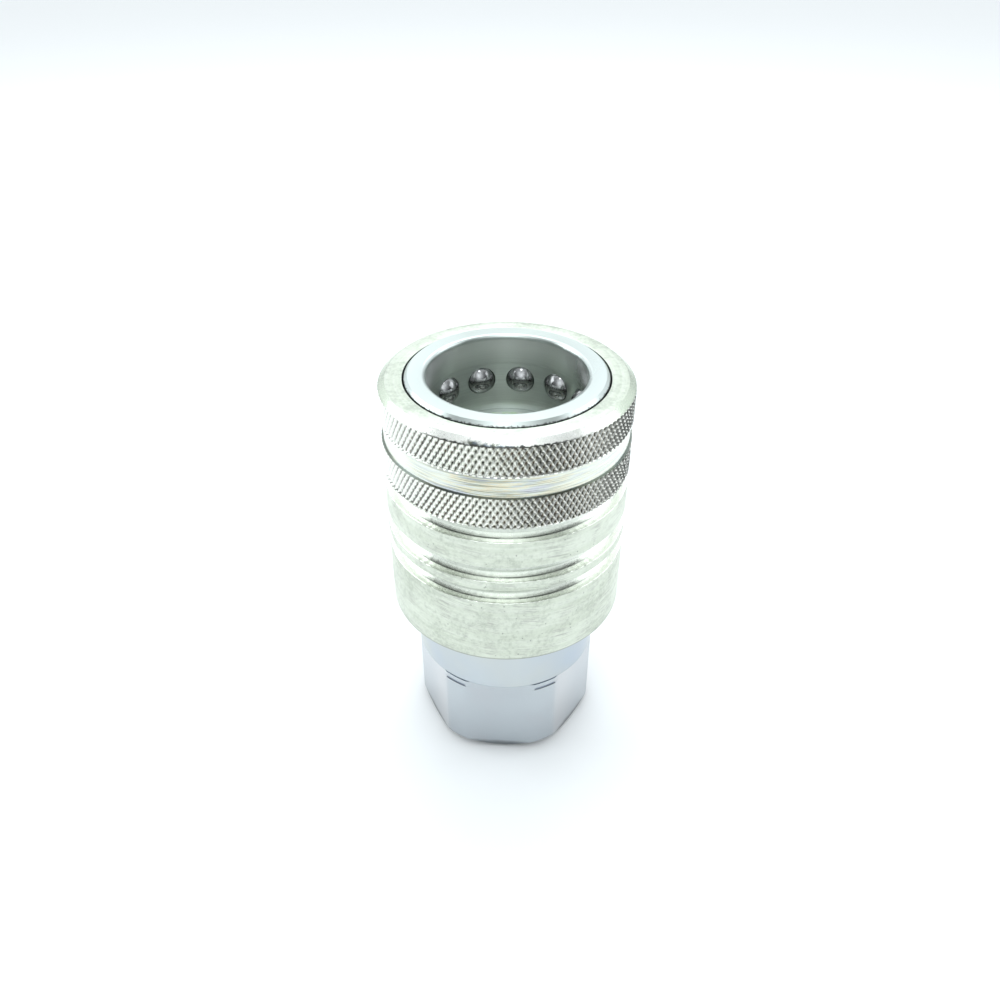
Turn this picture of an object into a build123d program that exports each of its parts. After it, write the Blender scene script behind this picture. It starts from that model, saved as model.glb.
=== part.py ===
"""Quick disconnect coupler, female half, ball-lock type with a poppet valve.

Millimetres. The axis is Z. The hexagonal end stands on Z = 0 and the socket opens upwards.
Every piece is a separate solid, written to parts/NAME.step.
"""

from build123d import *
import math
import os

os.makedirs("parts", exist_ok=True)

# ---- driving dimensions -------------------------------------------------------------------
# overall
total_length = 67.0  # hexagonal end to the mouth of the barrel
sleeve_front = 66.5  # front face of the sleeve at rest
sleeve_rear = 26.5  # rear face of the sleeve at rest

# hexagonal adaptor
hex_flats = 28.0
hex_corner_r = 15.15
hex_height = 15.8
hex_foot_r = 13.3  # radius of the turned chamfer at the foot of the hexagon
hex_bottom_chamfer = 1.65
hex_top_chamfer = 0.45
port_minor_r = 9.32  # G 1/2 female thread, minor radius
port_mouth_r = 10.6
port_depth = 15.0
port_throat_r = 7.8
spigot_r = 13.0
spigot_top = 27.5
spigot_bore_r = 10.0

# barrel
barrel_r = 15.1
barrel_bottom = 16.1
mouth_chamfer = 0.5
socket_r = 12.12  # relieved round the balls, behind the land that guides the plug
mouth_land_r = 11.95
mouth_land_bottom = 62.2
socket_mouth_round = 0.6
socket_floor = 53.65
seal_bore_r = 10.3
seal_groove_r = 12.65
seal_groove_bottom = 48.7
seal_groove_top = 52.5
seat_lip_r = 8.2
seat_lip_top = 47.0
seat_lip_bottom = 46.0
chamber_r = 11.5
chamber_bottom = 31.0
snap_groove_r = 14.2
snap_groove_bottom = 31.0
snap_groove_top = 32.2

# balls
ball_count = 12
ball_r = 2.5
ball_height = 59.15
ball_circle_r = 13.15
ball_first_angle = 23.4
ball_hole_r = 2.68
ball_lip_r = 2.3

# sleeve, outside
sleeve_r = 19.0
sleeve_face_r = 17.9
sleeve_front_chamfer = 0.9
groove_r = 17.9
recess_r = 18.65
knurl_recess = (57.4, 60.9)  # plain stretch between the two knurled bands
clamp_grooves = ((49.9, 52.4), (42.6, 45.3), (38.5, 41.0))
sleeve_edge = 0.45

# sleeve, inside
sleeve_land_r = 15.35
front_land = 1.0
release_r = 17.1
release_angle = 35.0
lock_r = 16.0
lock_edge = 59.3
lock_bottom = 56.5
spring_chamber_r = 17.05
circlip_groove_r = 17.75
circlip_groove = (27.6, 28.8)

# rings between the sleeve and the barrel
snap_ring_outer_r = 16.5
snap_ring_gap = 3.0
guide_ring_r = (15.3, 17.0)
guide_ring_height = (28.85, 30.9)
circlip_inner_r = 15.8
circlip_gap = 5.0
washer_r = (15.25, 16.9)
washer_height = (32.25, 33.25)

# springs
sleeve_spring_wire = 1.5
sleeve_spring_r = 16.1
sleeve_spring_turns = 6.5
poppet_spring_wire = 1.1
poppet_spring_r = 6.2
poppet_spring_turns = 5.5

# seals
socket_ring_section = 2.4
socket_ring_r = 11.35
backup_ring_r = (10.45, 12.55)
backup_ring_height = (51.25, 52.4)
adaptor_ring_section = 1.6
adaptor_ring_r = 12.15
adaptor_groove_r = 11.3
adaptor_groove = (17.2, 19.2)

# poppet valve
poppet_tip = 50.5
poppet_nose_r = 4.2
poppet_head_r = 9.9
poppet_stem_r = 3.0
poppet_stem_end = 26.5
valve_seal_section = 1.6
valve_seal_r = 8.3
valve_seal_height = 44.7

# guide for the poppet's stem
guide_rim_r = (10.2, 12.9)
guide_hub_r = 4.4
guide_bore_r = 3.06
guide_collar_top = 32.5
guide_arm = 2.4
guide_height = (27.5, 31.0)


def ring_profile(inner, outer, bottom, top):
    """A rectangle in the XZ plane between two radii and two heights."""
    with Locations(((inner + outer) / 2, (bottom + top) / 2)):
        Rectangle(outer - inner, top - bottom)


def write(piece, label):
    """Name a finished piece and write its STEP file."""
    piece.part.label = label
    export_step(piece.part, f"parts/{label}.step")


# ---- rear adaptor: hexagon, threaded port and the spigot that screws into the barrel ------
with BuildPart() as rear_adaptor:
    with BuildSketch():
        RegularPolygon(radius=hex_flats / 2, side_count=6, major_radius=False)
    extrude(amount=hex_height)
    # The corners are turned down to a cylinder and both ends have a turned chamfer.
    with BuildSketch(Plane.XZ):
        with BuildLine():
            Polyline(
                (0, 0),
                (hex_foot_r, 0),
                (hex_corner_r, hex_bottom_chamfer),
                (hex_corner_r, hex_height - hex_top_chamfer),
                (hex_corner_r - hex_top_chamfer, hex_height),
                (0, hex_height),
                close=True,
            )
        make_face()
    revolve(axis=Axis.Z, mode=Mode.INTERSECT)
    with BuildSketch(Plane.XZ):
        ring_profile(0, hex_corner_r - 0.6, hex_height, barrel_bottom)
        ring_profile(0, spigot_r, barrel_bottom, spigot_top)
    revolve(axis=Axis.Z)
    with BuildSketch(Plane.XZ):
        ring_profile(adaptor_groove_r, spigot_r + 1, *adaptor_groove)
    revolve(axis=Axis.Z, mode=Mode.SUBTRACT)
    with BuildSketch(Plane.XZ):
        with BuildLine():
            Polyline(
                (0, 0),
                (port_mouth_r, 0),
                (port_minor_r, port_mouth_r - port_minor_r),
                (port_minor_r, port_depth),
                (port_throat_r, port_depth + 0.9),
                (port_throat_r, 19.0),
                (spigot_bore_r, 22.5),
                (spigot_bore_r, spigot_top),
                (0, spigot_top),
                close=True,
            )
        make_face()
    revolve(axis=Axis.Z, mode=Mode.SUBTRACT)
write(rear_adaptor, "rear_adaptor")

# ---- socket body: the barrel with its socket, seal groove, valve seat and ball holes ------
with BuildPart() as socket_body:
    with BuildSketch(Plane.XZ):
        with BuildLine():
            Polyline(
                (spigot_r, barrel_bottom),
                (barrel_r - 0.25, barrel_bottom),
                (barrel_r, barrel_bottom + 0.25),
                (barrel_r, snap_groove_bottom),
                (snap_groove_r, snap_groove_bottom),
                (snap_groove_r, snap_groove_top),
                (barrel_r, snap_groove_top),
                (barrel_r, total_length - mouth_chamfer),
                (barrel_r - mouth_chamfer, total_length),
                (mouth_land_r + socket_mouth_round, total_length),
            )
            RadiusArc(
                (mouth_land_r + socket_mouth_round, total_length),
                (mouth_land_r, total_length - socket_mouth_round),
                -socket_mouth_round,
            )
            Polyline(
                (mouth_land_r, total_length - socket_mouth_round),
                (mouth_land_r, mouth_land_bottom),
                (socket_r, mouth_land_bottom - (socket_r - mouth_land_r)),
                (socket_r, socket_floor),
                (seal_bore_r + 0.2, socket_floor),
                (seal_bore_r, socket_floor - 0.2),
                (seal_bore_r, seal_groove_top),
                (seal_groove_r, seal_groove_top),
                (seal_groove_r, seal_groove_bottom),
                (seal_bore_r, seal_groove_bottom),
                (seal_bore_r, seat_lip_top),
                (seat_lip_r, seat_lip_top),
                (seat_lip_r, seat_lip_bottom),
                (chamber_r, seat_lip_bottom - (chamber_r - seat_lip_r)),
                (chamber_r, chamber_bottom),
                (spigot_r, chamber_bottom),
                (spigot_r, barrel_bottom),
            )
        make_face()
    revolve(axis=Axis.Z)
    # Each ball hole is a cylinder from outside that ends in a cone, so that the ball can't fall in.
    with BuildPart(mode=Mode.PRIVATE) as ball_hole:
        with BuildSketch(Plane.XZ):
            with BuildLine():
                Polyline(
                    (0, 11.0),
                    (ball_lip_r, 11.0),
                    (ball_lip_r, socket_r),
                    (ball_hole_r, ball_circle_r - 0.1),
                    (ball_hole_r, barrel_r + 1),
                    (0, barrel_r + 1),
                    close=True,
                )
            make_face()
        revolve(axis=Axis.Z)
    with Locations((0, 0, ball_height)):
        with PolarLocations(0, ball_count, start_angle=ball_first_angle):
            add(ball_hole.part.rotate(Axis.Y, 90), mode=Mode.SUBTRACT)
write(socket_body, "socket_body")

# ---- locking sleeve ----------------------------------------------------------------------
ramp_top = lock_edge + (release_r - lock_r) / math.tan(math.radians(release_angle))
with BuildPart() as locking_sleeve:
    with BuildSketch(Plane.XZ):
        with BuildLine():
            Polyline(
                (sleeve_land_r, sleeve_front - front_land),
                (sleeve_land_r, sleeve_front),
                (sleeve_face_r, sleeve_front),
                (sleeve_r, sleeve_front - sleeve_front_chamfer),
                (sleeve_r, sleeve_rear + sleeve_edge),
                (sleeve_r - sleeve_edge, sleeve_rear),
                (spring_chamber_r + 0.3, sleeve_rear),
                (spring_chamber_r, sleeve_rear + 0.3),
                (spring_chamber_r, circlip_groove[0]),
                (circlip_groove_r, circlip_groove[0]),
                (circlip_groove_r, circlip_groove[1]),
                (spring_chamber_r, circlip_groove[1]),
                (spring_chamber_r, lock_bottom),
                (lock_r, lock_bottom),
                (lock_r, lock_edge),
                (release_r, ramp_top),
                (release_r, sleeve_front - front_land),
                close=True,
            )
        make_face()
    revolve(axis=Axis.Z)
    with BuildSketch(Plane.XZ):
        for bottom, top in clamp_grooves:
            ring_profile(groove_r, sleeve_r + 1, bottom, top)
        ring_profile(recess_r, sleeve_r + 1, *knurl_recess)
    revolve(axis=Axis.Z, mode=Mode.SUBTRACT)
write(locking_sleeve, "locking_sleeve")

# ---- locking balls -----------------------------------------------------------------------
for number in range(ball_count):
    angle = math.radians(ball_first_angle + 360 / ball_count * number)
    with BuildPart() as ball:
        with Locations(
            (
                ball_circle_r * math.cos(angle),
                ball_circle_r * math.sin(angle),
                ball_height,
            )
        ):
            Sphere(ball_r)
    write(ball, f"locking_ball_{number + 1:02d}")

# ---- rings between the sleeve and the barrel ----------------------------------------------
with BuildPart() as spring_washer:
    with BuildSketch(Plane.XZ):
        ring_profile(*washer_r, *washer_height)
    revolve(axis=Axis.Z)
write(spring_washer, "spring_washer")

with BuildPart() as sleeve_guide_ring:
    with BuildSketch(Plane.XZ):
        ring_profile(*guide_ring_r, *guide_ring_height)
    revolve(axis=Axis.Z)
    chamfer(sleeve_guide_ring.edges().group_by(Axis.Z)[-1], length=0.2)
write(sleeve_guide_ring, "sleeve_guide_ring")


def open_ring(inner, outer, bottom, top, gap):
    """A snap ring: a flat ring with a gap cut through it on the +Y side."""
    with BuildPart() as ring:
        with BuildSketch(Plane.XZ):
            ring_profile(inner, outer, bottom, top)
        revolve(axis=Axis.Z)
        with Locations((0, (inner + outer) / 2, (bottom + top) / 2)):
            Box(gap, 2 * (outer - inner), 2 * (top - bottom), mode=Mode.SUBTRACT)
    return ring


body_snap_ring = open_ring(
    snap_groove_r + 0.05,
    snap_ring_outer_r,
    snap_groove_bottom + 0.03,
    snap_groove_top - 0.03,
    snap_ring_gap,
)
write(body_snap_ring, "body_snap_ring")

sleeve_circlip = open_ring(
    circlip_inner_r,
    circlip_groove_r - 0.05,
    circlip_groove[0] + 0.03,
    circlip_groove[1] - 0.03,
    circlip_gap,
)
write(sleeve_circlip, "sleeve_circlip")


# ---- seals -------------------------------------------------------------------------------
def o_ring(mean_r, section, height):
    """A round-section ring about Z."""
    with BuildPart() as ring:
        with BuildSketch(Plane.XZ):
            with Locations((mean_r, height)):
                Circle(section / 2)
        revolve(axis=Axis.Z)
    return ring


socket_o_ring = o_ring(
    socket_ring_r, socket_ring_section, seal_groove_bottom + socket_ring_section / 2 + 0.05
)
write(socket_o_ring, "socket_o_ring")

adaptor_o_ring = o_ring(adaptor_ring_r, adaptor_ring_section, sum(adaptor_groove) / 2)
write(adaptor_o_ring, "adaptor_o_ring")

poppet_seal = o_ring(valve_seal_r, valve_seal_section, valve_seal_height)
write(poppet_seal, "poppet_seal")

with BuildPart() as backup_ring:
    with BuildSketch(Plane.XZ):
        ring_profile(*backup_ring_r, *backup_ring_height)
    revolve(axis=Axis.Z)
write(backup_ring, "backup_ring")

# ---- poppet valve ------------------------------------------------------------------------
# The head's cone lies parallel to the valve seat, a little below it.
cone_sum = seat_lip_r + seat_lip_bottom - 0.2
head_shoulder = 47.4
head_bottom = 42.6
seal_room = 0.05 + valve_seal_section / 2
with BuildPart() as poppet:
    with BuildSketch(Plane.XZ):
        with BuildLine():
            Polyline(
                (0, poppet_stem_end),
                (poppet_stem_r - 0.6, poppet_stem_end),
                (poppet_stem_r, poppet_stem_end + 0.6),
                (poppet_stem_r, 40.0),
                (poppet_stem_r + 1.4, head_bottom - 0.9),
                (poppet_stem_r + 1.4, head_bottom),
                (poppet_head_r, head_bottom),
                (poppet_head_r, cone_sum - poppet_head_r),
                (cone_sum - head_shoulder, head_shoulder),
                (poppet_nose_r, head_shoulder),
                (poppet_nose_r, poppet_tip - 0.4),
                (poppet_nose_r - 0.4, poppet_tip),
                (0, poppet_tip),
                close=True,
            )
        make_face()
        with Locations((valve_seal_r + 2, valve_seal_height)):
            Rectangle(2 * (2 + seal_room), 2 * seal_room, mode=Mode.SUBTRACT)
    revolve(axis=Axis.Z)
write(poppet, "poppet")

# ---- guide for the poppet's stem ----------------------------------------------------------
with BuildPart() as poppet_guide:
    with BuildSketch(Plane.XY.offset(guide_height[0])):
        Circle(guide_rim_r[1])
        Circle(guide_rim_r[0], mode=Mode.SUBTRACT)
        Circle(guide_hub_r)
        with PolarLocations((guide_hub_r + guide_rim_r[0]) / 2 - 0.1, 3, start_angle=90):
            Rectangle(guide_rim_r[0] - guide_hub_r + 1.2, guide_arm)
    extrude(amount=guide_height[1] - guide_height[0])
    with BuildSketch(Plane.XY.offset(guide_height[1])):
        Circle(guide_hub_r)
    extrude(amount=guide_collar_top - guide_height[1])
    with BuildSketch(Plane.XY.offset(guide_height[0])):
        Circle(guide_bore_r)
    extrude(amount=guide_collar_top - guide_height[0], mode=Mode.SUBTRACT)
write(poppet_guide, "poppet_guide")


# ---- springs -----------------------------------------------------------------------------
def coil_spring(mean_r, wire, bottom, top, turns):
    """A helical compression spring that fills the height from bottom to top."""
    start = bottom + wire / 2
    height = top - bottom - wire
    with BuildPart() as spring:
        with BuildLine():
            Helix(pitch=height / turns, height=height, radius=mean_r, center=(0, 0, start))
        with BuildSketch(Plane(origin=(mean_r, 0, start), z_dir=(0, 1, 0))):
            Circle(wire / 2)
        sweep(is_frenet=True)
    return spring


sleeve_spring = coil_spring(
    sleeve_spring_r,
    sleeve_spring_wire,
    washer_height[1] + 0.05,
    lock_bottom - 0.05,
    sleeve_spring_turns,
)
write(sleeve_spring, "sleeve_spring")

poppet_spring = coil_spring(
    poppet_spring_r,
    poppet_spring_wire,
    guide_height[1] + 0.05,
    head_bottom - 0.05,
    poppet_spring_turns,
)
write(poppet_spring, "poppet_spring")
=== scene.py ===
"""The visual model of a quick disconnect coupler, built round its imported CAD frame.

Metres, +Z up, the coupler's axis on Z. First the pieces that replace CAD nodes, then the materials,
then the floor, lights and camera.
"""

import math
import random

import bmesh
import bpy
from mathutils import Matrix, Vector, noise


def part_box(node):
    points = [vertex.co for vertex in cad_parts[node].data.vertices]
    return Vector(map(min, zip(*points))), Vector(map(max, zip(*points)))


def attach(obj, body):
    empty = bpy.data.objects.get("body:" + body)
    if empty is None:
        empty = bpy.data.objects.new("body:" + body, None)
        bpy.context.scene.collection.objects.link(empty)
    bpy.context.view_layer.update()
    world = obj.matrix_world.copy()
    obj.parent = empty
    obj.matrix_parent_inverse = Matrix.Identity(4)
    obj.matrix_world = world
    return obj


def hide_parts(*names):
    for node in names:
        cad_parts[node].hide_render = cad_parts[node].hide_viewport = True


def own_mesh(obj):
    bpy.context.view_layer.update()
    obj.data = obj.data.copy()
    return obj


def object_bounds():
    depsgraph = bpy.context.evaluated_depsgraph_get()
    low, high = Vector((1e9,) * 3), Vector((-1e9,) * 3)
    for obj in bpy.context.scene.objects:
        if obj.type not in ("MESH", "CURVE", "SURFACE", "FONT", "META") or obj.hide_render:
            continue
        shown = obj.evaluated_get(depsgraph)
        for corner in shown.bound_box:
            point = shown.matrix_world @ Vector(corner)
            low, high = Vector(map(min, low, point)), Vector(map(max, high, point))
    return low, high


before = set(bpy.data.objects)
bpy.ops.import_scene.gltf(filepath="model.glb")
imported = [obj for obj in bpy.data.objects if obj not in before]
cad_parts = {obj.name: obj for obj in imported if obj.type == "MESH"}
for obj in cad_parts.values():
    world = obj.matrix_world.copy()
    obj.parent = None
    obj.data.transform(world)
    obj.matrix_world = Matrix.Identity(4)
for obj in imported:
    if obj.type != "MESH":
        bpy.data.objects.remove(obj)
cad_low, cad_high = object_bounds()

MM = 0.001
CORNER = 0.1 * MM
CORNER_SHARE = 0.4  # how much of a short side one rounded corner may take
BURR = 0.07 * MM
BURR_DETAIL = 37.0  # steps of the burr's noise in one radian
chance = random.Random(12)


# ---- mesh helpers -------------------------------------------------------------------------
def finish_piece(bm, name, body, node, sharp=32.0):
    """Turn a bmesh into a piece that stands for one CAD node and rides on its body."""
    bmesh.ops.recalc_face_normals(bm, faces=bm.faces)
    mesh = bpy.data.meshes.new(name)
    bm.to_mesh(mesh)
    bm.free()
    mesh.polygons.foreach_set("use_smooth", [True] * len(mesh.polygons))
    mesh.set_sharp_from_angle(angle=math.radians(sharp))
    piece = bpy.data.objects.new(name, mesh)
    bpy.context.scene.collection.objects.link(piece)
    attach(piece, body)
    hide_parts(node)
    return piece


def soft_corner(outline, index, radius, steps=3):
    """The points of (r, z, zone) that round one corner of a closed outline."""
    r, z, zone = outline[index]
    here = Vector((r, z))
    before = Vector(outline[index - 1][:2]) - here
    after = Vector(outline[(index + 1) % len(outline)][:2]) - here
    reach = min(radius, CORNER_SHARE * before.length, CORNER_SHARE * after.length)
    first = here + before.normalized() * reach
    last = here + after.normalized() * reach
    last_zone = outline[index - 1][2]
    points = []
    for step in range(steps + 1):
        t = step / steps
        point = first * (1 - t) ** 2 + here * 2 * t * (1 - t) + last * t * t
        points.append((point.x, point.y, last_zone if t < 0.5 else zone))
    return points


def wrap(rows, columns, zones):
    """A closed ring-shaped solid: every row is a list of points round the axis, one per column.

    Each row is (points, zone, knurl_row), and the faces from a row to the next have the row's zone.
    knurl_row is None for a plain row. Between two knurl rows every square is split in two along the
    knurl's slanting lines.
    """
    bm = bmesh.new()
    rings = [[bm.verts.new(point) for point in points] for points, _, _ in rows]
    for index, (_, zone, knurl_row) in enumerate(rows):
        following = (index + 1) % len(rows)
        upper, lower = rings[index], rings[following]
        knurled = knurl_row is not None and rows[following][2] is not None
        for column in range(columns):
            after = (column + 1) % columns
            corners = (upper[column], upper[after], lower[after], lower[column])
            if not knurled:
                faces = (corners,)
            elif (column + knurl_row) % 2 == 0:
                faces = (corners[:3], (corners[0], corners[2], corners[3]))
            else:
                faces = ((corners[0], corners[1], corners[3]), corners[1:])
            for face in faces:
                bm.faces.new(face).material_index = zones.index(zone)
    return bm


def ring_row(r, z, angles, zone, burr=0.0):
    """One row of a turned shape, with a small uneven burr if its edge was left rough."""
    points = []
    for angle in angles:
        across, along = math.cos(angle), math.sin(angle)
        lift = burr * noise.noise(Vector((across * BURR_DETAIL, along * BURR_DETAIL, z / MM)))
        points.append(((r - abs(lift)) * across, (r - abs(lift)) * along, z + lift))
    return (points, zone, None)


# ---- the knurled sleeve -------------------------------------------------------------------
SLEEVE_R = 19.0 * MM
TURNED_R = 18.995 * MM  # nothing on the sleeve stands out beyond this radius
KNURLS_AROUND = 122
KNURL_STEP = 0.405 * MM  # about a quarter of a diamond's height
KNURL_LIP = 0.12 * MM  # height of the plain edge above and below a band's pits
KNURL_VALLEY_R = 18.58 * MM
KNURL_PEAK_R = 18.99 * MM
KNURL_WEAK = 0.5  # height of the weaker set of ridges beside the stronger set
KNURL_UNEVEN = 0.018 * MM
KNURL_END_R = 18.93 * MM  # the pits run out towards the edges of a band

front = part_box("locking_sleeve")[1].z

# The sleeve's closed outline, down the outside and back up the inside: radius and height below the
# front face in millimetres, and the zone of the surface that follows the point.
SLEEVE_OUTLINE = [
    (15.35, 0.0, "face"),
    (17.9, 0.0, "chamfer"),
    (19.0, -0.9, "knurl"),
    (19.0, -5.6, "recess"),
    (18.65, -5.6, "recess"),
    (18.65, -9.1, "recess"),
    (19.0, -9.1, "knurl"),
    (19.0, -14.1, "groove"),
    (17.9, -14.1, "groove"),
    (17.9, -16.6, "ledge"),
    (19.0, -16.6, "band"),
    (19.0, -21.2, "groove"),
    (17.9, -21.2, "groove"),
    (17.9, -23.9, "ledge"),
    (19.0, -23.9, "band"),
    (19.0, -25.5, "groove"),
    (17.9, -25.5, "groove"),
    (17.9, -28.0, "ledge"),
    (19.0, -28.0, "band"),
    (19.0, -39.55, "rim"),
    (18.55, -40.0, "face"),
    (17.35, -40.0, "inside"),
    (17.05, -39.7, "inside"),
    (17.05, -38.9, "inside"),
    (17.75, -38.9, "inside"),
    (17.75, -37.7, "inside"),
    (17.05, -37.7, "inside"),
    (17.05, -10.0, "inside"),
    (16.0, -10.0, "inside"),
    (16.0, -7.2, "inside"),
    (17.1, -5.63, "inside"),
    (17.1, -1.0, "inside"),
    (15.35, -1.0, "inside"),
]
CHAMFER_SLOPE = 0.9 / (19.0 - 17.9)
RECESS_FOOT = front - 9.1 * MM
LEDGES = [front + z * MM for _, z, zone in SLEEVE_OUTLINE if zone == "ledge"]
LOW_EDGE = front - 39.5 * MM  # lower edge of the last band


def knurl_rows(top, bottom, below, angles, cone):
    """The rows of one knurled band, four columns and four rows to a diamond.

    Two sets of ridges cross, one a little lower than the other, with a pit in each diamond between
    them. below is the zone under the band, and cone is the slope of a chamfer above it.
    """

    def cut_radius(column, row):
        strong = 2 - abs((column + row) % 4 - 2)
        weak = 2 - abs((column - row) % 4 - 2)
        rise = max(strong / 2, KNURL_WEAK * weak / 2)
        return KNURL_VALLEY_R + (KNURL_PEAK_R - KNURL_VALLEY_R) * rise

    def cut(row, z):
        points = []
        for column, angle in enumerate(angles):
            # Uneven mostly inwards, so that the ridges keep one height.
            r = cut_radius(column, row) + chance.uniform(-1, 0.2) * KNURL_UNEVEN
            angle += chance.uniform(-1, 1) * KNURL_UNEVEN / SLEEVE_R
            height = z + chance.uniform(-1, 1) * KNURL_UNEVEN
            points.append((r * math.cos(angle), r * math.sin(angle), height))
        return points

    def lip(row, z, slope):
        points = []
        for column, angle in enumerate(angles):
            r = min(max(cut_radius(column, row), KNURL_END_R), SLEEVE_R)
            points.append((r * math.cos(angle), r * math.sin(angle), z + (SLEEVE_R - r) * slope))
        return points

    high, low = top - KNURL_LIP, bottom + KNURL_LIP
    last = round((high - low) / KNURL_STEP)
    rows = [(lip(0, top, cone), "knurl", None)]
    rows += [(cut(row, high + (low - high) * row / last), "knurl", row) for row in range(last + 1)]
    rows.append((lip(last, bottom, 0.0), below, None))
    return rows


def make_sleeve():
    """The locking sleeve with real knurling, as one closed mesh."""
    zones = ["face", "chamfer", "knurl", "recess", "groove", "ledge", "band", "rim", "inside"]
    columns = 4 * KNURLS_AROUND
    angles = [2 * math.pi * column / columns for column in range(columns)]

    outline = [(r * MM, front + z * MM, zone) for r, z, zone in SLEEVE_OUTLINE]
    rows = []
    for index, (r, z, zone) in enumerate(outline):
        if zone == "knurl":
            _, bottom, below = outline[index + 1]
            cone = CHAMFER_SLOPE if outline[index - 1][2] == "chamfer" else 0.0
            rows += knurl_rows(z, bottom, below, angles, cone)
        elif outline[index - 1][2] != "knurl":
            burr = BURR if zone == "band" else 0.0
            corner = soft_corner(outline, index, CORNER)
            rows += [ring_row(r, z, angles, zone, burr) for r, z, zone in corner]
    bm = wrap(rows, columns, zones)
    for vert in bm.verts:
        vert.co.xy *= min(1.0, TURNED_R / vert.co.xy.length)
    piece = finish_piece(bm, "sleeve_knurled", "sleeve", "locking_sleeve")
    for face in piece.data.polygons:
        face.use_smooth = zones[face.material_index] != "knurl"
    return piece, zones


# ---- the hexagonal adaptor with its threads -------------------------------------------------
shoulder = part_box("socket_body")[0].z

HEX_HALF = 14.0 * MM
HEX_CORNER_R = 15.15 * MM
FOOT_R = 13.3 * MM
FOOT_SLOPE = 1.65 / (15.15 - 13.3)
STEP_R = 15.06 * MM  # radius over the step that ends the hexagon
STEP_HEIGHT = 0.12 * MM
STEP_Z = shoulder - 1.15 * MM  # above here the hexagon's corners are turned down
JOINT_GAP = 0.07 * MM  # the fine dark joint under the barrel
PORT_MOUTH_R = 10.6 * MM
PORT_MINOR_R = 9.32 * MM
PORT_MAJOR_R = 10.478 * MM
PORT_PITCH = 1.814 * MM
PORT_DEPTH = 15.0 * MM
SPIGOT_R = 13.0 * MM
SPIGOT_ROOT_R = 12.15 * MM
SPIGOT_PITCH = 1.5 * MM
SPIGOT_THREAD_Z = 19.6 * MM
SPIGOT_LEAD = 0.6 * MM
THREAD_STEP = 0.15 * MM

# Radius and height in millimetres: the groove for the o-ring, and the passage behind the port.
SEAL_GROOVE = ((13.0, 17.2), (11.3, 17.2), (11.3, 19.2), (13.0, 19.2))
PASSAGE = ((10.0, 22.5), (7.8, 19.0), (7.8, 15.9))


def thread_wave(turns):
    """A thread profile with flattened root and crest: 0 at the root and 1 at the crest of a turn."""
    ridge = 1 - abs(2 * (turns % 1.0) - 1)
    return min(1.0, max(0.0, 1.3 * ridge - 0.15))


def hex_angles():
    """Angles with a column on every edge between a flat and a turned corner."""
    edge = math.degrees(math.acos(HEX_HALF / HEX_CORNER_R))
    on_flat, on_corner = 10, 5
    angles = []
    for side in range(6):
        middle = 60.0 * side - 90.0
        angles += [middle - edge + 2 * edge * step / on_flat for step in range(on_flat)]
        angles += [middle + edge + (60 - 2 * edge) * step / on_corner for step in range(on_corner)]
    return [math.radians(angle) for angle in angles]


def hex_radius(angle):
    """The hexagon's radius at an angle, its corners turned down."""
    off = (angle + math.pi / 2 + math.pi / 6) % (math.pi / 3) - math.pi / 6
    return min(HEX_HALF / math.cos(off), HEX_CORNER_R)


def make_adaptor():
    """The rear adaptor: hexagon with turned chamfers, port thread and spigot thread."""
    zones = ["hexagon", "thread", "inside"]
    angles = hex_angles()
    hex_top = shoulder - JOINT_GAP
    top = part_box("rear_adaptor")[1].z

    def row(shape, zone):
        points = []
        for angle in angles:
            r, z = shape(angle)
            points.append((r * math.cos(angle), r * math.sin(angle), z))
        return (points, zone, None)

    def turned(zone, *outline):
        """Round rows through points of radius and height in millimetres."""
        return [row(lambda angle, r=r, z=z: (r * MM, z * MM), zone) for r, z in outline]

    def foot(angle):
        return hex_radius(angle), (hex_radius(angle) - FOOT_R) * FOOT_SLOPE

    def spigot(angle, z, start):
        cut = (1 - thread_wave(z / SPIGOT_PITCH - angle / math.tau)) * start
        return SPIGOT_R - (SPIGOT_R - SPIGOT_ROOT_R) * cut, z

    def port(angle, z, end):
        cut = (1 - thread_wave(z / PORT_PITCH - angle / math.tau)) * end
        chamfer = PORT_MOUTH_R - z
        return max(PORT_MINOR_R + (PORT_MAJOR_R - PORT_MINOR_R) * cut, chamfer), z

    rows = turned("hexagon", (PORT_MOUTH_R / MM, 0.0), (FOOT_R / MM, 0.0))
    rows.append(row(foot, "hexagon"))
    rows.append(row(lambda angle: (hex_radius(angle), STEP_Z - STEP_HEIGHT), "hexagon"))
    rows.append(row(lambda angle: (min(hex_radius(angle), STEP_R), STEP_Z), "hexagon"))
    rows.append(row(lambda angle: (min(hex_radius(angle), STEP_R), hex_top), "hexagon"))
    rows += turned("inside", (14.5, hex_top / MM), (14.5, shoulder / MM), (13.0, shoulder / MM))
    rows += turned("inside", *SEAL_GROOVE)
    thread_high = top - SPIGOT_LEAD
    count = round((thread_high - SPIGOT_THREAD_Z) / THREAD_STEP)
    for step in range(count + 1):
        z = SPIGOT_THREAD_Z + (thread_high - SPIGOT_THREAD_Z) * step / count
        start = min(1.0, 4 * step / count)
        rows.append(row(lambda angle, z=z, start=start: spigot(angle, z, start), "inside"))
    rows += turned("inside", (12.2, top / MM), (10.0, top / MM), *PASSAGE)
    count = round(PORT_DEPTH / THREAD_STEP)
    for step in range(count):
        z = PORT_DEPTH * (1 - step / count)
        end = min(1.0, 8 * step / count)
        rows.append(row(lambda angle, z=z, end=end: port(angle, z, end), "thread"))
    bm = wrap(rows, len(angles), zones)
    piece = finish_piece(bm, "adaptor_threaded", "coupler_body", "rear_adaptor", 18.0)
    return piece, zones


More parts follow.
